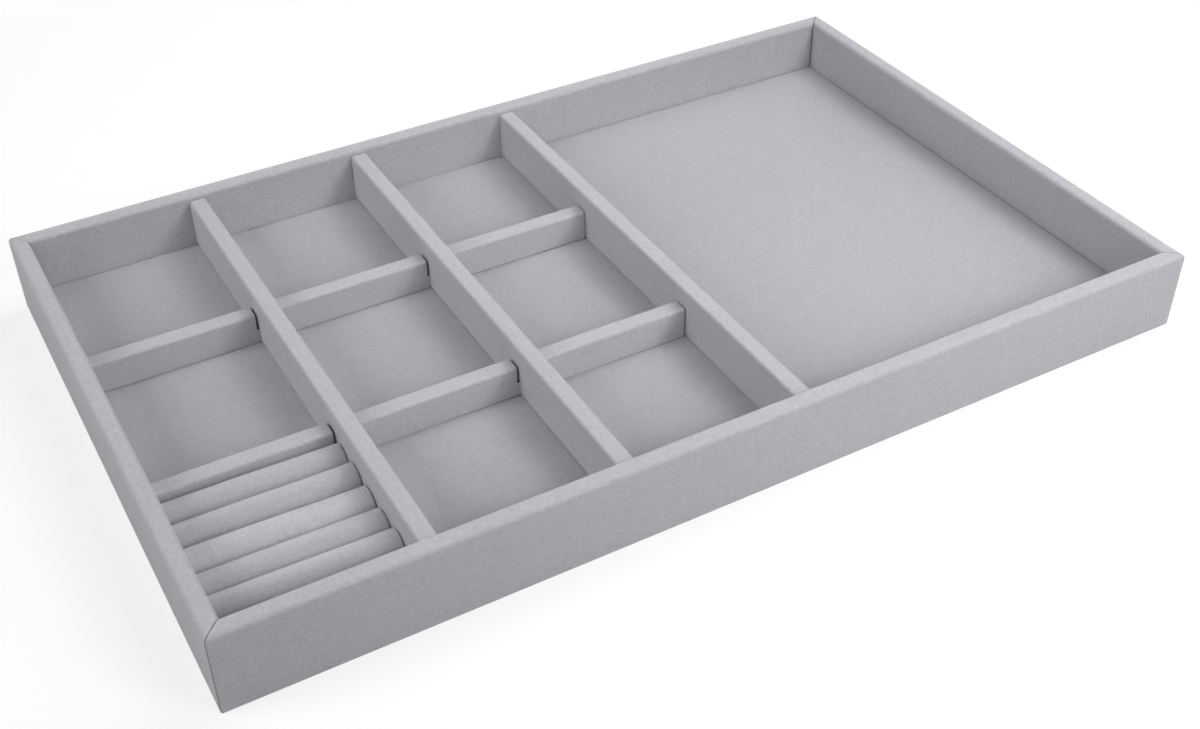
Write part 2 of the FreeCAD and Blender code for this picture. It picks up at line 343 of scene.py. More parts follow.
class Graph:
    """A material's node tree, with short ways to add nodes and join them."""

    def __init__(self, name: str) -> None:
        """Starts a material with its shader and the object's own coordinates.

        Args:
            name: The material's name.
        """
        self.material = bpy.data.materials.new(name)
        self.material.use_nodes = True
        self.tree = self.material.node_tree
        self.shader = self.tree.nodes["Principled BSDF"]
        self.coordinates = self.add("ShaderNodeTexCoord").outputs["Object"]

    def add(
        self, kind: str, settings: dict[str, object] | None = None, **sockets: object
    ) -> bpy.types.Node:
        """Adds a node.

        Args:
            kind: The node's type.
            settings: The node's own properties.
            **sockets: Values or outputs for its inputs, by name, with _ for a space.

        Returns:
            The node.
        """
        node = self.tree.nodes.new(kind)
        for key, value in (settings or {}).items():
            setattr(node, key, value)
        for key, value in sockets.items():
            self.feed(node.inputs[key.replace("_", " ")], value)
        return node

    def feed(self, socket: bpy.types.NodeSocket, value: object) -> None:
        """Links an output to a socket, or sets the socket's value.

        Args:
            socket: The socket.
            value: The output or the value.
        """
        if isinstance(value, bpy.types.NodeSocket):
            self.tree.links.new(value, socket)
        else:
            socket.default_value = value

    def noise(self, grain: float, detail: float = 2.0, stretch: Point = (1, 1, 1)) -> bpy.types.NodeSocket:
        """Adds a noise pattern on the object's coordinates.

        Args:
            grain: The width of one grain, in metres.
            detail: How many finer layers it has.
            stretch: How much the pattern is squeezed along each axis.

        Returns:
            The pattern's output, about 0.5 on average.
        """
        mapping = self.add("ShaderNodeMapping", Vector=self.coordinates, Scale=stretch)
        node = self.add(
            "ShaderNodeTexNoise", Vector=mapping.outputs[0], Scale=1 / grain, Detail=detail, Roughness=0.6
        )
        return node.outputs["Fac"]

    def math(self, operation: str, first: object, second: object) -> bpy.types.NodeSocket:
        """Joins two numbers by an operation.

        Args:
            operation: The operation's name.
            first: An output or a number.
            second: Another.

        Returns:
            The result's output.
        """
        node = self.add("ShaderNodeMath", {"operation": operation})
        self.feed(node.inputs[0], first)
        self.feed(node.inputs[1], second)
        return node.outputs[0]

    def weigh(
        self, first: bpy.types.NodeSocket, second: bpy.types.NodeSocket, share: float
    ) -> bpy.types.NodeSocket:
        """Adds two patterns, the first by a share and the second by the rest."""
        parts = (self.math("MULTIPLY", first, share), self.math("MULTIPLY", second, 1 - share))
        return self.math("ADD", *parts)

    def blend(self, share: bpy.types.NodeSocket, first: object, second: object) -> bpy.types.NodeSocket:
        """Mixes two colours.

        Args:
            share: How much of the second there is, from 0 to 1.
            first: An output or a colour.
            second: Another.

        Returns:
            The mixed colour's output.
        """
        node = self.add("ShaderNodeMix", {"data_type": "RGBA"})
        self.feed(node.inputs["Factor"], share)
        self.feed(node.inputs[6], first)
        self.feed(node.inputs[7], second)
        return node.outputs[2]

    def mottle(
        self, pattern: bpy.types.NodeSocket, reach: Range, colour: Colour, contrast: float
    ) -> bpy.types.NodeSocket:
        """Colours a pattern from a darker to a paler tone of one colour.

        Args:
            pattern: The pattern.
            reach: The part of the pattern's range over which the tone changes.
            colour: The colour halfway.
            contrast: How much darker and paler the tones are.

        Returns:
            The colour's output.
        """
        dark, pale = (shaded(colour, 1 + side * contrast) for side in (-1, 1))
        return self.blend(self.spread(pattern, reach), dark, pale)

    def attribute(self, name: str) -> bpy.types.NodeSocket:
        """Reads a number that a piece's mesh holds, 0 where it holds none."""
        return self.add("ShaderNodeAttribute", {"attribute_name": name}).outputs["Fac"]

    def scaled(self, colour: bpy.types.NodeSocket, factor: bpy.types.NodeSocket) -> bpy.types.NodeSocket:
        """Makes a colour lighter or darker by a factor."""
        node = self.add("ShaderNodeVectorMath", {"operation": "SCALE"}, Vector=colour, Scale=factor)
        return node.outputs[0]

    def spread(self, pattern: bpy.types.NodeSocket, reach: Range) -> bpy.types.NodeSocket:
        """Stretches a part of a pattern's range to the whole of 0 to 1."""
        node = self.add("ShaderNodeMapRange", Value=pattern, From_Min=reach[0], From_Max=reach[1])
        return node.outputs["Result"]

    def bump(
        self, height: bpy.types.NodeSocket, relief: Relief, under: bpy.types.NodeSocket | None = None
    ) -> bpy.types.NodeSocket:
        """Turns a pattern into surface relief.

        Args:
            height: The pattern.
            relief: Its depth and strength.
            under: Another relief that this one lies on.

        Returns:
            The relief's normal.
        """
        node = self.add("ShaderNodeBump", Height=height, Distance=relief.depth, Strength=relief.strength)
        if under is not None:
            self.feed(node.inputs["Normal"], under)
        return node.outputs["Normal"]

    def finish(self, **sockets: object) -> bpy.types.Material:
        """Feeds the shader.

        Args:
            **sockets: Values or outputs for its sockets, by name, with _ for a space.

        Returns:
            The finished material.
        """
        for key, value in sockets.items():
            self.feed(self.shader.inputs[key.replace("_", " ")], value)
        return self.material


@dataclass(frozen=True)
class Velvet:
    """Short grey pile with faint brush marks, a soft sheen, and painted light and shade where marked."""

    name: str
    colour: Colour = (182, 180, 185)
    pile: float = 0.5 * MM
    pile_relief: Relief = Relief(0.18 * MM, 0.35)
    tuft: float = 1.9 * MM
    tuft_relief: Relief = Relief(0.2 * MM, 0.2)
    tuft_reach: Range = (0.32, 0.68)
    tuft_contrast: float = 0.075
    brush_mark: float = 14.0 * MM
    mark_contrast: float = 0.02
    # How strongly the painted light and painted shade show.
    rub: float = 0.1

    def make(self) -> bpy.types.Material:
        """Makes the velvet's material.

        Returns:
            The material.
        """
        graph = Graph(self.name)
        pile = graph.noise(self.pile, 2)
        tufts = graph.noise(self.tuft, 3)
        marks = graph.math("SUBTRACT", graph.noise(self.brush_mark, 3), NOISE_MIDDLE)
        colour = graph.mottle(tufts, self.tuft_reach, self.colour, self.tuft_contrast)
        lie = graph.math("MULTIPLY", marks, NOISE_SWING * self.mark_contrast)
        # Painted light and shade: paler where the mesh's mark is above zero, darker where it is below.
        rubbed = graph.math("MULTIPLY", graph.attribute(PAINTED_LIGHT), self.rub)
        tone = graph.math("ADD", graph.math("ADD", lie, rubbed), 1.0)
        return graph.finish(
            Base_Color=graph.scaled(colour, tone),
            Normal=graph.bump(pile, self.pile_relief, graph.bump(tufts, self.tuft_relief)),
            Roughness=0.95,
            Specular_IOR_Level=0.12,
            Sheen_Weight=0.8,
            Sheen_Roughness=0.5,
            Sheen_Tint=linear(self.colour),
        )


@dataclass(frozen=True)
class NeedleFelt:
    """Matted felt with short fibres lying every way."""

    name: str
    colour: Colour = (124, 123, 127)
    fibre: float = 0.45 * MM
    fibre_relief: Relief = Relief(0.25 * MM, 0.6)
    fibre_share: float = 0.7
    along_x: Point = (0.18, 1, 1)
    along_y: Point = (1, 0.2, 1)
    clump: float = 5.0 * MM
    clump_relief: Relief = Relief(0.4 * MM, 0.3)
    reach: Range = (0.4, 0.7)
    contrast: float = 0.22

    def make(self) -> bpy.types.Material:
        """Makes the felt's material.

        Returns:
            The material.
        """
        graph = Graph(self.name)
        lengthwise = graph.noise(self.fibre, 3, self.along_x)
        crosswise = graph.noise(self.fibre, 3, self.along_y)
        clumps = graph.noise(self.clump, 3)
        fibres = graph.math("MAXIMUM", lengthwise, crosswise)
        tone = graph.weigh(fibres, clumps, self.fibre_share)
        return graph.finish(
            Base_Color=graph.mottle(tone, self.reach, self.colour, self.contrast),
            Normal=graph.bump(fibres, self.fibre_relief, graph.bump(clumps, self.clump_relief)),
            Roughness=0.97,
            Specular_IOR_Level=0.1,
            Sheen_Weight=0.15,
        )


@dataclass(frozen=True)
class PressedStock:
    """Pressed wood or paper fibre: a flat body colour with darker and paler flecks."""

    name: str
    colour: Colour
    fleck: float
    contrast: float
    fleck_relief: Relief = Relief(0.12 * MM, 0.5)
    fleck_share: float = 0.7
    flattened: Point = (0.5, 0.5, 1.6)
    flecks_in_cloud: float = 14.0
    reach: Range = (0.34, 0.66)

    def make(self) -> bpy.types.Material:
        """Makes the stock's material.

        Returns:
            The material.
        """
        graph = Graph(self.name)
        flecks = graph.noise(self.fleck, 4, self.flattened)
        clouds = graph.noise(self.fleck * self.flecks_in_cloud, 2)
        tone = graph.weigh(flecks, clouds, self.fleck_share)
        return graph.finish(
            Base_Color=graph.mottle(tone, self.reach, self.colour, self.contrast),
            Normal=graph.bump(flecks, self.fleck_relief),
            Roughness=0.85,
        )


@dataclass(frozen=True)
class CellFoam:
    """Cut upholstery foam, with its small open cells, each painted darker in its middle as painted shade.
    """

    name: str
    colour: Colour = (226, 222, 208)
    cell: float = 0.7 * MM
    cell_relief: Relief = Relief(0.3 * MM, 0.7)
    reach: Range = (0.15, 0.6)
    pore_shade: float = 0.62

    def make(self) -> bpy.types.Material:
        """Makes the foam's material.

        Returns:
            The material.
        """
        graph = Graph(self.name)
        cells = graph.add("ShaderNodeTexVoronoi", Vector=graph.coordinates, Scale=1 / self.cell).outputs[0]
        # Painted shade: the middle of each cell is painted darker.
        tones = (shaded(self.colour, self.pore_shade), linear(self.colour))
        return graph.finish(
            Base_Color=graph.blend(graph.spread(cells, self.reach), *tones),
            Normal=graph.bump(cells, self.cell_relief),
            Roughness=0.95,
        )


@dataclass(frozen=True)
class WireSteel:
    """Bright drawn wire, a little dulled."""

    name: str
    colour: Colour = (188, 188, 186)
    scratch: float = 0.3 * MM
    scratch_relief: Relief = Relief(0.03 * MM, 0.4)
    drawn: Point = (1, 1, 0.1)
    polish: float = 0.2
    dulling: float = 0.3

    def make(self) -> bpy.types.Material:
        """Makes the steel's material.

        Returns:
            The material.
        """
        graph = Graph(self.name)
        scratches = graph.noise(self.scratch, 3, self.drawn)
        return graph.finish(
            Base_Color=linear(self.colour),
            Metallic=1.0,
            Roughness=graph.math("ADD", graph.math("MULTIPLY", scratches, self.dulling), self.polish),
            Normal=graph.bump(scratches, self.scratch_relief),
        )


class Finishes:
    """Every finish of the tray, made once and shared by its pieces."""

    def __init__(self) -> None:
        """Makes the finishes."""
        self.velvet = Velvet("board_velvet").make()
        self.floor_velvet = Velvet("floor_velvet", tuft_contrast=0.055).make()
        # The rolls' velvet is painted paler than the boards', standing in for the light that falls on them.
        self.roll_velvet = Velvet("ring_roll_velvet", (190, 188, 193)).make()
        self.felt = NeedleFelt("underside_needle_felt").make()
        self.by_slot = {
            "fibreboard": PressedStock("pressed_fibreboard", (88, 70, 57), fleck=0.5 * MM, contrast=0.3),
            "greyboard": PressedStock("pressed_greyboard", (128, 126, 120), fleck=0.8 * MM, contrast=0.18),
            "foam": CellFoam("cut_foam"),
            "fastener_steel": WireSteel("wire_steel"),
        }

    def dress_frame(self) -> None:
        """Gives the CAD nodes that stay in view their finishes, by the record's slots."""
        materials = {slot: finish.make() for slot, finish in self.by_slot.items()}
        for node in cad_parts.values():
            for slot in node.material_slots:
                if slot.material and slot.material.name in materials:
                    slot.material = materials[slot.material.name]


def node_box(node: str) -> tuple[Vector, Vector]:
    """The lowest and highest corner of a CAD node, as vectors."""
    low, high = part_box(node)
    return Vector(low), Vector(high)


@dataclass(frozen=True)
class Notch:
    """One notch of a halved joint: its middle along the board, its width, and the level it is cut to."""

    middle: float
    width: float
    level: float
    side: NotchSide


@dataclass
class CoveredBoard:
    """The velvet drawn tight round one fibreboard board."""

    board: str
    body: str
    lie: Lie
    ends: Ends
    notches: tuple[Notch, ...] = ()
    cloth: float = 0.6 * MM
    crown_radius: float = 2.6 * MM
    crown_segments: int = 6
    foot_radius: float = 0.9 * MM
    foot_segments: int = 4
    foot_gap: float = 0.0
    cell: float = 5.0 * MM
    seam: float = 0.25 * MM
    tuck: float = 0.8 * MM
    tuck_length: float = 0.45 * MM
    lip: float = 1.0 * MM
    waves: float = 0.1 * MM
    wave_spread: float = 55.0 * MM

    def __post_init__(self) -> None:
        """Reads the board's own length, thickness and height from the frame."""
        self.low, self.high = node_box(f"{self.board}_cover")
        size = self.high - self.low
        across = self.lie in (Lie.RIGHT, Lie.LEFT)
        self.length, self.thickness = (size.y, size.x) if across else (size.x, size.y)
        self.height = size.z

    def model(self) -> Bench:
        """Models the sleeve in the board's own axes, with its inner side to +Y and its foot at zero.

        Returns:
            The sleeve, still without thickness.
        """
        spare = 4 * self.tuck_length
        bench = Bench.block(
            f"{self.board}_pattern",
            Vector((self.length + spare, self.thickness, self.height - self.foot_gap)),
            Vector((0, 0, (self.height + self.foot_gap) / 2)),
        )
        with bench.editing():
            self.round_edges(bench)
            self.open_ends(bench)
            for notch in self.notches:
                self.cut_notch(bench, notch)
        return bench

    def round_edges(self, bench: Bench) -> None:
        """Rounds the long edges and divides the faces into cells that can follow the cloth.

        Args:
            bench: The sleeve, in edit mode.
        """
        bench.pick_along(0, lambda middle: middle.z > self.height - TOUCH)
        bench.round(self.crown_radius, self.crown_segments)
        bench.pick_along(0, lambda middle: middle.z < self.foot_gap + TOUCH)
        bench.round(self.foot_radius, self.foot_segments)
        bench.pick_along(2)
        bench.divide(self.height, self.cell)
        bench.pick_along(0)
        bench.divide(self.length, self.cell)

    def open_ends(self, bench: Bench) -> None:
        """Opens the sleeve at both ends, trims it square or to a mitre, and turns the cloth in there.

        Args:
            bench: The sleeve, in edit mode.
        """
        bench.drop_faces(lambda face: abs(face.normal.x) > ALONG)
        slant = 1.0 if self.ends is Ends.MITRED else 0.0
        for side in (-1, 1):
            normal = Vector((side, slant, 0)).normalized()
            corner = Vector((side * self.length / 2, -self.thickness / 2, 0))
            bench.slice_through(corner - normal * self.tuck_length, normal)
            bench.slice_through(corner + normal * self.tuck_length, normal, clear=True)
            bench.pick_rim(side)
            across, upright = self.drawn_in(self.tuck)
            bench.scale((1, across, upright), Vector((0, 0, self.height / 2)))
            bench.slice_through(corner - normal * self.seam, normal, clear=True)
            bench.pick_rim(side)
            bpy.ops.mesh.extrude_region()
            across, upright = self.drawn_in(self.lip)
            inset = self.seam / abs(normal.x) + slant * self.thickness / 2
            end = Vector((side * (self.length / 2 - inset), 0, self.height / 2))
            bench.scale((across, across, upright), end)

    def drawn_in(self, depth: float) -> tuple[float, float]:
        """The factors, across and upright, that draw an end of the sleeve in by a depth on every side."""
        return 1 - 2 * depth / self.thickness, 1 - 2 * depth / self.height

    def cut_notch(self, bench: Bench, notch: Notch) -> None:
        """Cuts a notch of a halved joint out of the sleeve.

        Args:
            bench: The sleeve, in edit mode.
            notch: The notch.
        """

        def within(face: bmesh.types.BMFace) -> bool:
            """Says whether a face lies between the notch's two sides."""
            return abs(face.calc_center_median().x - notch.middle) < notch.width / 2

        def inside(face: bmesh.types.BMFace) -> bool:
            """Says whether a face lies in the notch."""
            rise = face.calc_center_median().z - notch.level
            return within(face) and (rise > 0) == (notch.side is NotchSide.TOP)

        for side in (-1, 1):
            bench.slice_through(Vector((notch.middle + side * notch.width / 2, 0, 0)), Vector((1, 0, 0)))
        bench.pick(Element.FACE, within)
        bench.slice(Vector((0, 0, notch.level)), Vector((0, 0, 1)))
        bench.drop_faces(inside)

    def fit(self, pattern: Bench, finish: bpy.types.Material) -> bpy.types.Object:
        """Draws a copy of a sleeve over this board.

        Args:
            pattern: A sleeve of this board's size.
            finish: The velvet.

        Returns:
            The finished sleeve.
        """
        bench = pattern.copy(f"{self.board}_velvet")
        middle = (self.low + self.high) / 2
        bench.settle(Vector((middle.x, middle.y, self.low.z)), math.radians(self.lie.value))
        bench.relax(self.waves, self.wave_spread)
        bench.thicken(self.cloth)
        bench.smooth()
        # Paints the crown paler, a painted highlight.
        bench.mark(PAINTED_LIGHT, self.painted_light_at)
        piece = bench.dress(finish, self.body, "velvet", f"{self.board}_cover")
        return piece

    def painted_light_at(self, vertex: bpy.types.MeshVertex) -> float:
        """Painted light: 1 on the crown, which is painted paler, and less and less round its edges."""
        depth = self.high.z - vertex.co.z
        return min(1.0, max(0.0, 1 - depth / self.crown_radius))


def cover(boards: tuple[CoveredBoard, ...], finish: bpy.types.Material) -> list[bpy.types.Object]:
    """Covers boards of one size: their sleeve is modelled once and copied.

    Args:
        boards: The boards.
        finish: The velvet.

    Returns:
        The finished sleeves, in the boards' order.
    """
    pattern = boards[0].model()
    sleeves = [board.fit(pattern, finish) for board in boards]
    pattern.discard()
    return sleeves


@dataclass
class Grid:
    """The boards that part the tray: three long dividers and two cross strips, halved into each other."""

    slit: float = 1.5 * MM
    straddle: float = 0.3 * MM
    lap: float = 10.6 * MM
    drop: float = 0.4 * MM
    crown_radius: float = 1.7 * MM
    foot_radius: float = 1.4 * MM
    divider_gap: float = 0.55 * MM

    def board(
        self, name: str, body: str, lie: Lie, notches: tuple[Notch, ...] = (), gap: float = 0.0
    ) -> CoveredBoard:
        """Sets out one board of the grid, crisper on top than a wall and rounder at its foot.

        Args:
            name: The board's name.
            body: The body that it rides on.
            lie: How it lies.
            notches: Its notches.
            gap: How far its sleeve stands off the floor.

        Returns:
            The board, ready to be covered.
        """
        edges = {"crown_radius": self.crown_radius, "foot_radius": self.foot_radius}
        return CoveredBoard(name, body, lie, Ends.SQUARE, notches, foot_gap=gap, **edges)

    def build(self, finish: bpy.types.Material) -> list[bpy.types.Object]:
        """Covers the boards of the grid, notched where they cross.

        Args:
            finish: The velvet.

        Returns:
            The finished sleeves.
        """
        dividers = ("left_divider", "middle_divider")
        strips = ("front_cross_strip", "back_cross_strip")
        low, high = node_box(f"{strips[0]}_cover")
        thickness = high.y - low.y
        strip_middle = (low.x + high.x) / 2
        saddle = high.z - low.z - self.lap
        over_strips = tuple(
            Notch((low.y + high.y) / 2, thickness + 2 * self.straddle, saddle + self.drop, NotchSide.FOOT)
            for low, high in (node_box(f"{strip}_cover") for strip in strips)
        )
        under_dividers = tuple(
            Notch((low.x + high.x) / 2 - strip_middle, thickness + 2 * self.slit, saddle, NotchSide.TOP)
            for low, high in (node_box(f"{divider}_cover") for divider in dividers)
        )
        loose = tuple(
            self.board(name, name, Lie.RIGHT, over_strips, self.divider_gap) for name in dividers
        )
        fixed = (self.board("right_divider", "tray", Lie.RIGHT),)
        lattice = tuple(self.board(name, "cross_strips", Lie.FRONT, under_dividers) for name in strips)
        return cover(loose, finish) + cover(fixed, finish) + cover(lattice, finish)


@dataclass
class Walls:
    """The four mitred walls of the tray, as a long pair and a short one."""

    ends: Ends = Ends.MITRED

    def build(self, finish: bpy.types.Material) -> list[bpy.types.Object]:
        """Covers the walls.

        Args:
            finish: The velvet.

        Returns:
            The finished sleeves.
        """
        front, back, right, left = (
            CoveredBoard(f"{lie.name.lower()}_wall", "tray", lie, self.ends)
            for lie in (Lie.FRONT, Lie.BACK, Lie.RIGHT, Lie.LEFT)
        )
        return cover((front, back), finish) + cover((right, left), finish)


@dataclass
class FloorLining:
    """The velvet over the padded floor panel, turned down round its edge."""

    cloth: float = 0.6 * MM
    edge_radius: float = 1.2 * MM
    edge_segments: int = 4
    cell: float = 9.0 * MM
    waves: float = 0.3 * MM
    wave_spread: float = 70.0 * MM

    def build(self, finish: bpy.types.Material) -> bpy.types.Object:
        """Models the lining.

        Args:
            finish: The velvet.

        Returns:
            The finished lining.
        """
        low, high = node_box("floor_lining")
        size = high - low
        bench = Bench.block("floor_velvet", size, (low + high) / 2)
        with bench.editing():
            bench.pick(Element.EDGE, lambda edge: all(end.co.z > high.z - TOUCH for end in edge.verts))
            bench.round(self.edge_radius, self.edge_segments)
            bench.pick_along(0)
            bench.divide(size.x, self.cell)
            bench.pick_along(1)
            bench.divide(size.y, self.cell)
            bench.drop_faces(lambda face: face.normal.z < -ALONG)
        bench.relax(self.waves, self.wave_spread)
        bench.thicken(self.cloth)
        bench.smooth()
        piece = bench.dress(finish, "tray", "velvet", "floor_lining")
        return piece


@dataclass
class Underside:
    """The felt glued under the tray."""

    corner_radius: float = 2.5 * MM
    corner_segments: int = 4
    edge_radius: float = 0.35 * MM
    edge_segments: int = 2

    def build(self, finish: bpy.types.Material) -> bpy.types.Object:
        """Models the felt.

        Args:
            finish: The felt's material.

        Returns:
            The finished felt.
        """
        low, high = node_box("base_felt")
        size = high - low
        bench = Bench.block("underside_felt", size, (low + high) / 2)
        with bench.editing():
            bench.pick_along(2)
            bench.round(self.corner_radius, self.corner_segments)
            bench.pick(Element.EDGE, lambda edge: all(end.co.z < low.z + TOUCH for end in edge.verts))
            bench.round(self.edge_radius, self.edge_segments)
        bench.smooth()
        piece = bench.dress(finish, "tray", "underside_felt", "base_felt")
        return piece


@dataclass(frozen=True)
class RollShape:
    """What is particular to one ring roll.

    Its crown lies below a full one, all along and further at each end, and its colour is painted
    paler, or below zero darker, on the crown and down the front: painted highlight and painted shade.
    """

    slump: float
    left_sag: float
    right_sag: float
    crown_painted_light: float
    front_painted_light: float

    def painted_light_at(self, front: float) -> float:
        """The painted light, from 0, the crown, to 1, where the roll faces the front; below zero it is
        painted shade.
        """
        return self.crown_painted_light + front * (self.front_painted_light - self.crown_painted_light)


@dataclass
class RingRolls:
    """Six foam rolls in velvet, side by side in the front left compartment, counted from the front."""

    shapes: tuple[RollShape, ...] = (
        # Slump, left sag, right sag, painted light on the crown, painted light down the front (below zero,
        # painted shade).
        RollShape(0.3 * MM, 0.1 * MM, 0.6 * MM, 0.3, -0.7),
        RollShape(0.5 * MM, -0.5 * MM, 1.2 * MM, 0.5, -0.7),
        RollShape(2.1 * MM, 0.0 * MM, 1.3 * MM, 0.6, -0.6),
        RollShape(1.0 * MM, -0.6 * MM, 1.5 * MM, 1.1, 0.7),
        RollShape(0.0 * MM, -0.3 * MM, 0.7 * MM, 0.2, -1.1),
        RollShape(0.0 * MM, 0.0 * MM, 1.2 * MM, 0.0, -1.1),
    )
    crown_flat: float = 0.05 * MM
    crown_segments: int = 10
    foot_radius: float = 4.0 * MM
    foot_segments: int = 4
    end_radius: float = 1.6 * MM
    end_segments: int = 3
    end_rings: int = 2
    ring_step: float = 0.6
    cell: float = 1.9 * MM
    swell: float = 0.35 * MM
    pressure: float = 15.0
    steps: int = 20
    glue_line: float = 1.2 * MM
    end_glue_line: float = 0.6 * MM
    sag_reach: float = 60.0 * MM
    waves: float = 0.3 * MM
    wave_spread: float = 24.0 * MM
    front_tilt: float = 0.5

    def build(self, finish: bpy.types.Material) -> list[bpy.types.Object]:
        """Models one roll and copies it for the others.

        Args:
            finish: The rolls' velvet.

        Returns:
            The finished rolls, front one first.
        """
        self.low, self.high = node_box("ring_roll_cover_1")
        pattern = self.model()
        self.fill(pattern)
        rolls = [self.lay(pattern, number, finish) for number in range(1, len(self.shapes) + 1)]
        pattern.discard()
        return rolls

    def model(self) -> Bench:
        """Models the velvet of the front roll, a little slimmer than it is once filled.

        Returns:
            The slack roll.
        """
        size = self.high - self.low - Vector((0, 2 * self.swell, 0))
        middle = (self.low + self.high) / 2
        bench = Bench.block("ring_roll_pattern", size, middle)
        with bench.editing():
            bench.pick_along(0, lambda centre: centre.z > self.high.z - TOUCH)
            bench.round(size.y / 2 - self.crown_flat, self.crown_segments)
            bench.pick_along(0, lambda centre: centre.z < self.low.z + TOUCH)
            bench.round(self.foot_radius, self.foot_segments)
            bench.pick(Element.FACE, lambda face: abs(face.normal.x) > ALONG)
            bpy.ops.mesh.region_to_loop()
            bench.round(self.end_radius, self.end_segments)
            for side in (self.low.x, self.high.x):
                bench.pick(Element.FACE, lambda face: abs(face.calc_center_median().x - side) < TOUCH)
                for _ in range(self.end_rings):
                    bpy.ops.mesh.extrude_region()
                    bench.scale((1, self.ring_step, self.ring_step), Vector((side, middle.y, middle.z)))
            bench.pick_along(0, lambda centre: abs(centre.x - middle.x) < size.x / 3)
            bench.divide(size.x, self.cell)
        return bench

    def fill(self, bench: Bench) -> None:
        """Presses the velvet out by a cloth simulation, except where it is glued, at its foot and ends.

        Args:
            bench: The slack roll.
        """
        piece = bench.piece
        slack = [vertex.co.copy() for vertex in piece.data.vertices]
        glued = [
            index
            for index, place in enumerate(slack)
            if place.z < self.low.z + self.glue_line
            or min(place.x - self.low.x, self.high.x - place.x) < self.end_glue_line
        ]
        piece.vertex_groups.new(name="glued").add(glued, 1.0, "REPLACE")
        cloth = piece.modifiers.new("cloth", "CLOTH")
        cloth.settings.vertex_group_mass = "glued"
        cloth.settings.use_pressure = True
        cloth.settings.uniform_pressure_force = self.pressure
        cloth.settings.effector_weights.gravity = 0
        cloth.point_cache.frame_end = self.steps
        for step in range(1, self.steps + 1):
            bpy.context.scene.frame_set(step)
        bpy.ops.object.modifier_apply(modifier=cloth.name)
        bpy.context.scene.frame_set(1)
        moves = [vertex.co - start for vertex, start in zip(piece.data.vertices, slack)]
        LOG.info("%s: swells by up to %.2f mm", piece.name, max(move.length for move in moves) / MM)
        for vertex, start, move in zip(piece.data.vertices, slack, moves):
            if move.length > self.swell:
                vertex.co = start + move * (self.swell / move.length)
        piece.vertex_groups.clear()

    def lay(self, pattern: Bench, number: int, finish: bpy.types.Material) -> bpy.types.Object:
        """Lays a copy of the roll in its place and gives it what is particular to it.

        Args:
            pattern: The front roll.
            number: The roll's number, from 1.
            finish: Its velvet.

        Returns:
            The finished roll.
        """
        shape = self.shapes[number - 1]
        low, high = node_box(f"ring_roll_cover_{number}")
        bench = pattern.copy(f"ring_roll_velvet_{number}")
        bench.settle(low - self.low)
        height = high.z - low.z
        with bench.editing():
            bench.pick(Element.VERTEX)
            bench.scale((1, 1, 1 - shape.slump / height), low)
            for side, sag in ((low.x, shape.left_sag), (high.x, shape.right_sag)):
                bench.pick(Element.VERTEX, lambda vertex: abs(vertex.co.x - side) < TOUCH)
                bench.scale((1, 1, 1 - sag / height), Vector((side, 0, low.z)), self.sag_reach)
        bench.apply("SUBSURF", levels=1, render_levels=1)
        bench.relax(self.waves, self.wave_spread)
        bench.smooth()
        # Paints the crown paler and the front darker: painted highlight and painted shade.
        bench.mark(PAINTED_LIGHT, lambda vertex: shape.painted_light_at(self.facing_front(vertex)))
        nodes = (f"ring_roll_cover_{number}", f"ring_roll_foam_{number}")
        piece = bench.dress(finish, f"ring_roll_{number}", "roll_velvet", *nodes)
        return piece

    def facing_front(self, vertex: bpy.types.MeshVertex) -> float:
        """How far a roll's surface faces the front: 0 on the crown and behind it, 1 down the front."""
        return min(1.0, max(0.0, -vertex.normal.y / self.front_tilt))


@dataclass(frozen=True)
class Lamp:
    """One large soft lamp aimed at a point, with its sides in metres and its spread in degrees."""

    name: str
    place: Point
    aim: Point
    sides: tuple[float, float]
    power: float
    spread: float = 180.0

    def hang(self) -> None:
        """Adds the lamp to the scene."""
        direction = Vector(self.aim) - Vector(self.place)
        bpy.ops.object.light_add(type="AREA", location=self.place)
        lamp = bpy.context.active_object
        lamp.name = self.name
        lamp.rotation_euler = direction.to_track_quat("-Z", "Y").to_euler()
        lamp.data.shape = "RECTANGLE"
        lamp.data.size, lamp.data.size_y = self.sides
        lamp.data.energy = self.power
        lamp.data.spread = math.radians(self.spread)
        lamp.visible_camera = False


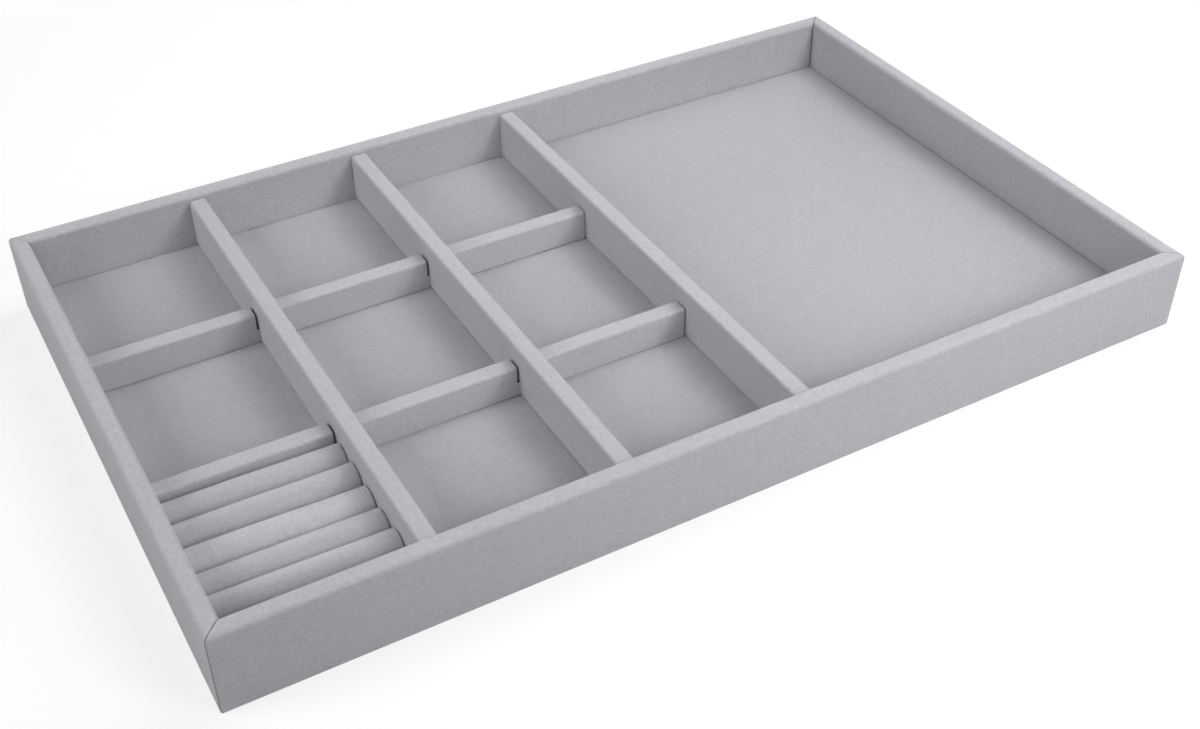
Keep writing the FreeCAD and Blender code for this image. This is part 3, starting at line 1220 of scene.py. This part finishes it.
@dataclass
class Studio:
    """Floor, world, lamps and camera."""

    lamps: tuple[Lamp, ...] = (
        Lamp("left_lamp", (-1.34, 0.0, 0.85), (0.0, 0.0, 0.03), (0.9, 0.9), 11.2),
        Lamp("back_right_lamp", (1.13, 0.65, 0.92), (0.0, 0.0, 0.03), (0.9, 0.9), 7.9),
        Lamp("overhead_lamp", (0.6, 0.0, 1.4), (0.3, 0.0, 0.0), (0.8, 0.8), 6.5),
        Lamp("front_lamp", (0.2, -1.0, 0.5), (0.1, -0.1, 0.03), (0.6, 0.6), 3.9),
        Lamp("front_right_lamp", (0.6, -1.0, 0.8), (0.2, -0.1, 0.03), (0.5, 0.5), 0.46, spread=40.0),
        Lamp("front_left_lamp", (-0.3, -1.1, 1.2), (-0.1, 0.1, 0.03), (0.5, 0.5), 0.15, spread=30.0),
        Lamp("back_lamp", (0.0, 1.25, 0.18), (0.0, 0.18, 0.03), (1.2, 0.3), 4.0),
        Lamp("underside_lamp", (0.0, 0.0, -1.0), (0.0, 0.0, 0.0), (0.3, 0.3), 9.0),
    )
    camera_place: Point = (-0.3634, -0.6558, 0.5571)
    camera_aim: Point = (-0.0308, -0.0657, 0.02)
    camera_roll: float = -0.414
    lens: float = 46.54
    floor_side: float = 14.0
    floor_drop: float = 0.2 * MM
    floor_tone: float = 0.62
    shadow_tone: float = 0.4
    floor_glow: Range = (0.66, 1.0)
    glow_reach: Range = (0.6, 1.9)

    def build(self) -> None:
        """Sets the stage."""
        bpy.context.scene.view_settings.view_transform = "Standard"
        self.hang_backdrop()
        self.lay_floor()
        for lamp in self.lamps:
            lamp.hang()
        self.stand_camera()

    @staticmethod
    def seen_directly(tree: bpy.types.NodeTree) -> bpy.types.NodeSocket:
        """Adds a switch for what the camera sees, also by mirror or through glass.

        Args:
            tree: The node tree that gets it.

        Returns:
            The switch's output: 1 where the camera sees the surface, 0 for light on its way.
        """
        path = tree.nodes.new("ShaderNodeLightPath")
        switch = path.outputs["Is Camera Ray"]
        for ray in ("Is Glossy Ray", "Is Transmission Ray"):
            either = tree.nodes.new("ShaderNodeMath")
            either.operation = "MAXIMUM"
            tree.links.new(switch, either.inputs[0])
            tree.links.new(path.outputs[ray], either.inputs[1])
            switch = either.outputs[0]
        return switch

    def hang_backdrop(self) -> None:
        """Shows white where nothing stands. It gives no light: the lamps do that."""
        world = bpy.data.worlds.new("studio_world")
        bpy.context.scene.world = world
        world.use_nodes = True
        tree = world.node_tree
        backdrop = tree.nodes["Background"]
        backdrop.inputs["Color"].default_value = (1, 1, 1, 1)
        tree.links.new(self.seen_directly(tree), backdrop.inputs["Strength"])

    def lay_floor(self) -> None:
        """Lays a pale floor that keeps the tray's shadow, whitens away from it, and is clear from below."""
        bpy.ops.object.select_all(action="DESELECT")
        bpy.ops.mesh.primitive_plane_add(size=self.floor_side, location=(0, 0, -self.floor_drop))
        floor = bpy.context.active_object
        floor.name = "studio_floor"
        graph = Graph("studio_paper")
        distance = graph.add("ShaderNodeVectorMath", {"operation": "LENGTH"}, Vector=graph.coordinates)
        glow = graph.add(
            "ShaderNodeMapRange",
            Value=distance.outputs["Value"],
            From_Min=self.glow_reach[0],
            From_Max=self.glow_reach[1],
            To_Min=self.floor_glow[0],
            To_Max=self.floor_glow[1],
        )
        lift = graph.add("ShaderNodeEmission", Strength=glow.outputs["Result"])
        shadow, lit = (
            graph.add("ShaderNodeBsdfDiffuse", Color=(tone, tone, tone, 1))
            for tone in (self.shadow_tone, self.floor_tone)
        )
        shown = graph.add("ShaderNodeAddShader")
        graph.feed(shown.inputs[0], shadow.outputs[0])
        graph.feed(shown.inputs[1], lift.outputs[0])
        paper = self.either(graph, self.seen_directly(graph.tree), lit, shown)
        path = graph.add("ShaderNodeLightPath")
        side = graph.add("ShaderNodeNewGeometry")
        let_through = graph.math("MAXIMUM", side.outputs["Backfacing"], path.outputs["Is Shadow Ray"])
        surface = self.either(graph, let_through, paper, graph.add("ShaderNodeBsdfTransparent"))
        graph.feed(graph.tree.nodes["Material Output"].inputs["Surface"], surface.outputs[0])
        floor.data.materials.append(graph.material)

    @staticmethod
    def either(
        graph: Graph, switch: bpy.types.NodeSocket, first: bpy.types.Node, second: bpy.types.Node
    ) -> bpy.types.Node:
        """Chooses between two shaders.

        Args:
            graph: The material's node tree.
            switch: 0 for the first shader, 1 for the second.
            first: A shader.
            second: Another.

        Returns:
            The node that gives the chosen one.
        """
        mix = graph.add("ShaderNodeMixShader", Fac=switch)
        graph.feed(mix.inputs[1], first.outputs[0])
        graph.feed(mix.inputs[2], second.outputs[0])
        return mix

    def stand_camera(self) -> None:
        """Stands the camera where the photograph was taken from."""
        bpy.ops.object.camera_add(location=self.camera_place)
        camera = bpy.context.active_object
        camera.name = "photo_camera"
        sight = Vector(self.camera_aim) - Vector(self.camera_place)
        level = sight.to_track_quat("-Z", "Y")
        roll = Quaternion((0, 0, 1), math.radians(self.camera_roll))
        camera.rotation_euler = (level @ roll).to_euler()
        camera.data.lens = self.lens
        camera.data.sensor_width = 36.0
        camera.data.sensor_fit = "HORIZONTAL"
        camera.data.clip_start = 0.01
        bpy.context.scene.camera = camera


def main() -> None:
    """Builds the tray's pieces, then the studio round it."""
    logging.basicConfig(level=logging.INFO, format="%(name)s: %(message)s")
    finishes = Finishes()
    finishes.dress_frame()
    pieces = Walls().build(finishes.velvet) + Grid().build(finishes.velvet)
    pieces.append(FloorLining().build(finishes.floor_velvet))
    pieces.append(Underside().build(finishes.felt))
    pieces += RingRolls().build(finishes.roll_velvet)
    for piece in pieces:
        LOG.info("%s: %d faces", piece.name, len(piece.data.polygons))
    Studio().build()


if __name__ == "__main__":
    main()
